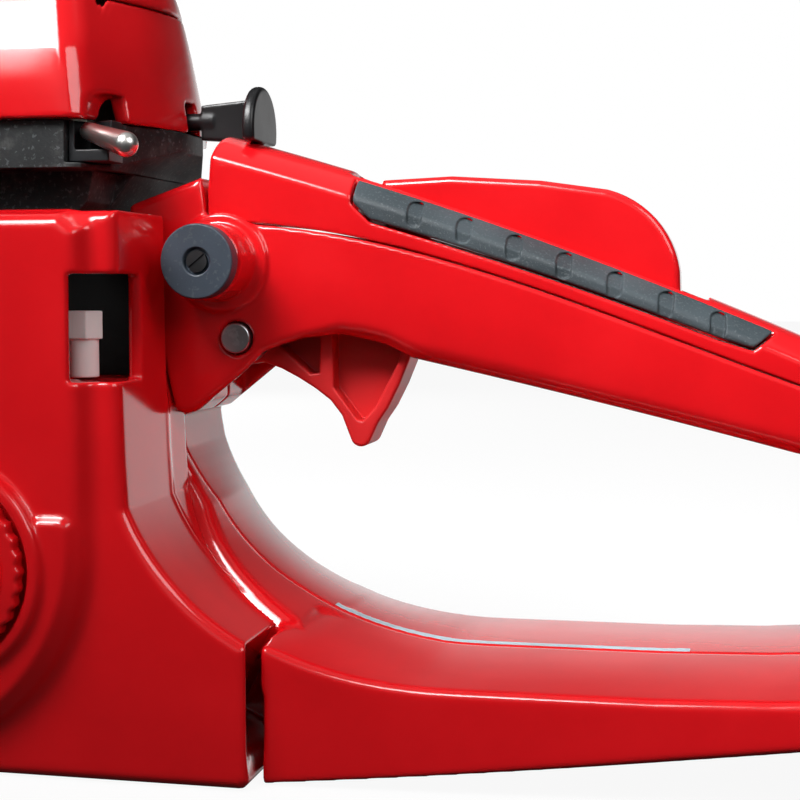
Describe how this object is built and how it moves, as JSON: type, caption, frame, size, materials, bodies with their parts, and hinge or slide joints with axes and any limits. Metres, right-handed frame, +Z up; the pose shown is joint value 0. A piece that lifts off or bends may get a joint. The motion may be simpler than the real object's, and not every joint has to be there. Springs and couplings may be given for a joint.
{
  "type": "petrol chainsaw",
  "caption": "Petrol chainsaw with a D-shaped rear handle, sprung throttle trigger and lock, recoil starter, chain brake guard, guide bar and chain.",
  "frame": {"origin": "on the flat base under the middle of the engine", "axes": "+X towards the rear handle, -X towards the bar's tip, -Y the starter side, +Z up"},
  "size_m": [0.875, 0.2155, 0.292],
  "materials": {
    "red_plastic": "glossy moulded",
    "red_trigger": "satin moulded",
    "grip_rubber": "fine grained",
    "black_plastic": "satin moulded",
    "dusty_black_plastic": "grained moulded",
    "white_plastic": "translucent moulded",
    "zinc_steel": "galvanised",
    "chrome_steel": "polished",
    "dark_steel": "blackened",
    "bar_steel": "ground",
    "chain_steel": "oiled",
    "cast_alloy": "as cast, dark",
    "bright_alloy": "as cast",
    "muffler_paint": "matt heat-proof paint",
    "ceramic": "glazed",
    "black_rubber": "smooth",
    "filter_felt": "felt",
    "fuel_hose": "translucent",
    "rope_fibre": "braided"
  },
  "bodies": {
    "saw": {"handle_shell_left": "red_plastic", "handle_shell_right": "red_plastic", "handle_cover": "red_plastic", "grip_pad_left": "grip_rubber", "grip_pad_right": "grip_rubber", "trigger_pin": "zinc_steel", "trigger_spring": "zinc_steel", "lock_pin": "zinc_steel", "handle_screws": "dark_steel", "av_plug": "grip_rubber", "av_plug_screw": "dark_steel", "fuel_tank": "red_plastic", "tank_vent": "white_plastic", "fuel_line": "fuel_hose", "crankcase_left": "cast_alloy", "crankcase_right": "cast_alloy", "main_bearings": "bar_steel", "piston": "bright_alloy", "cylinder": "bright_alloy", "spark_plug": "ceramic", "plug_boot": "black_rubber", "ignition_lead": "black_rubber", "muffler": "muffler_paint", "intake_boot": "black_rubber", "carburettor": "bright_alloy", "filter_base": "dusty_black_plastic", "air_filter": "filter_felt", "engine_cover": "red_plastic", "stop_switch_body": "black_plastic", "ignition_coil": "black_plastic", "starter_cover": "red_plastic", "starter_screws": "zinc_steel", "recoil_spring": "bar_steel", "starter_rope": "rope_fibre", "guide_bar": "bar_steel", "saw_chain": "chain_steel", "bar_studs": "zinc_steel", "bar_nuts": "zinc_steel", "clutch_cover": "red_plastic", "spiked_bumper": "dark_steel", "front_handle": "black_plastic", "handle_bracket": "cast_alloy"},
    "trigger": {"throttle_trigger": "red_trigger"},
    "lock": {"throttle_lock": "red_plastic"},
    "throttle_wire": {"throttle_rod": "zinc_steel"},
    "stop_lever": {"stop_switch_lever": "chrome_steel"},
    "choke": {"choke_knob": "black_plastic"},
    "crank": {"crankshaft": "bar_steel", "flywheel": "bright_alloy", "clutch_hub": "dark_steel"},
    "drum": {"clutch_drum": "bar_steel"},
    "nose": {"nose_sprocket": "dark_steel"},
    "guard": {"brake_guard": "black_plastic"},
    "cap_fuel": {"fuel_cap": "red_plastic"},
    "cap_oil": {"oil_cap": "black_plastic"},
    "lid": {"filter_lid": "red_plastic"},
    "knob": {"lid_knob": "black_plastic"},
    "tensioner": {"tension_screw": "zinc_steel"},
    "grip": {"starter_grip": "black_plastic"},
    "pulley": {"starter_pulley": "white_plastic"}
  },
  "joints": [
    {"name": "throttle_trigger_pull", "type": "hinge", "parent": "saw", "child": "trigger", "pos_m": [0.1223, 0, 0.106], "axis": [0, -1, 0], "range_deg": [0, 14], "stiffness_Nm_per_rad": 0.6, "springref_deg": -6.88},
    {"name": "throttle_lock_press", "type": "hinge", "parent": "saw", "child": "lock", "pos_m": [0.158, 0, 0.136], "axis": [0, 1, 0], "range_deg": [0, 8], "stiffness_Nm_per_rad": 0.6, "springref_deg": -6.88},
    {"name": "throttle_wire_slide", "type": "slide", "parent": "saw", "child": "throttle_wire", "axis": [-1, 0, 0], "range_m": [0, 0.003]},
    {"name": "stop_switch_flip", "type": "hinge", "parent": "saw", "child": "stop_lever", "pos_m": [0.0936, -0.041, 0.1564], "axis": [-0.506, -0.8625, 0], "range_deg": [0, 25]},
    {"name": "choke_pull", "type": "slide", "parent": "saw", "child": "choke", "axis": [1, 0, 0], "range_m": [0, 0.012]},
    {"name": "crank_spin", "type": "hinge", "parent": "saw", "child": "crank", "pos_m": [-0.016, 0, 0.074], "axis": [0, -1, 0], "continuous": true},
    {"name": "clutch_drum_spin", "type": "hinge", "parent": "saw", "child": "drum", "pos_m": [-0.016, 0, 0.074], "axis": [0, -1, 0], "continuous": true},
    {"name": "nose_sprocket_spin", "type": "hinge", "parent": "saw", "child": "nose", "pos_m": [-0.532, 0.0445, 0.074], "axis": [0, -1, 0], "continuous": true},
    {"name": "chain_brake_tilt", "type": "hinge", "parent": "saw", "child": "guard", "pos_m": [-0.046, 0, 0.181], "axis": [0, -1, 0], "range_deg": [0, 16]},
    {"name": "fuel_cap_turn", "type": "hinge", "parent": "saw", "child": "cap_fuel", "pos_m": [0.061, -0.06, 0.052], "axis": [0, -1, 0], "range_deg": [0, 360]},
    {"name": "oil_cap_turn", "type": "hinge", "parent": "saw", "child": "cap_oil", "pos_m": [-0.083, -0.04, 0.027], "axis": [0, -1, 0], "range_deg": [0, 360]},
    {"name": "filter_lid_lift", "type": "slide", "parent": "saw", "child": "lid", "axis": [0, 0, 1], "range_m": [0, 0.06]},
    {"name": "lid_knob_turn", "type": "hinge", "parent": "lid", "child": "knob", "pos_m": [0.06, 0, 0.22], "axis": [0, 0, 1], "range_deg": [0, 720]},
    {"name": "tension_screw_turn", "type": "hinge", "parent": "saw", "child": "tensioner", "pos_m": [-0.1, 0.052, 0.09], "axis": [-1, 0, 0], "range_deg": [-720, 720]},
    {"name": "starter_pull", "type": "slide", "parent": "saw", "child": "grip", "axis": [0, 0, 1], "range_m": [0, 0.5], "stiffness_N_per_m": 10, "springref_m": -0.3, "deforming": ["starter_rope"]},
    {"name": "starter_pulley_spin", "type": "hinge", "parent": "saw", "child": "pulley", "pos_m": [-0.016, 0, 0.074], "axis": [0, -1, 0], "range_deg": [0, 930]}
  ],
  "couplings": [
    {"joint": "throttle_wire_slide", "follows": "throttle_trigger_pull", "m_per_rad": 0.011},
    {"joint": "starter_pulley_spin", "follows": "starter_pull", "rad_per_m": 31.949}
  ]
}
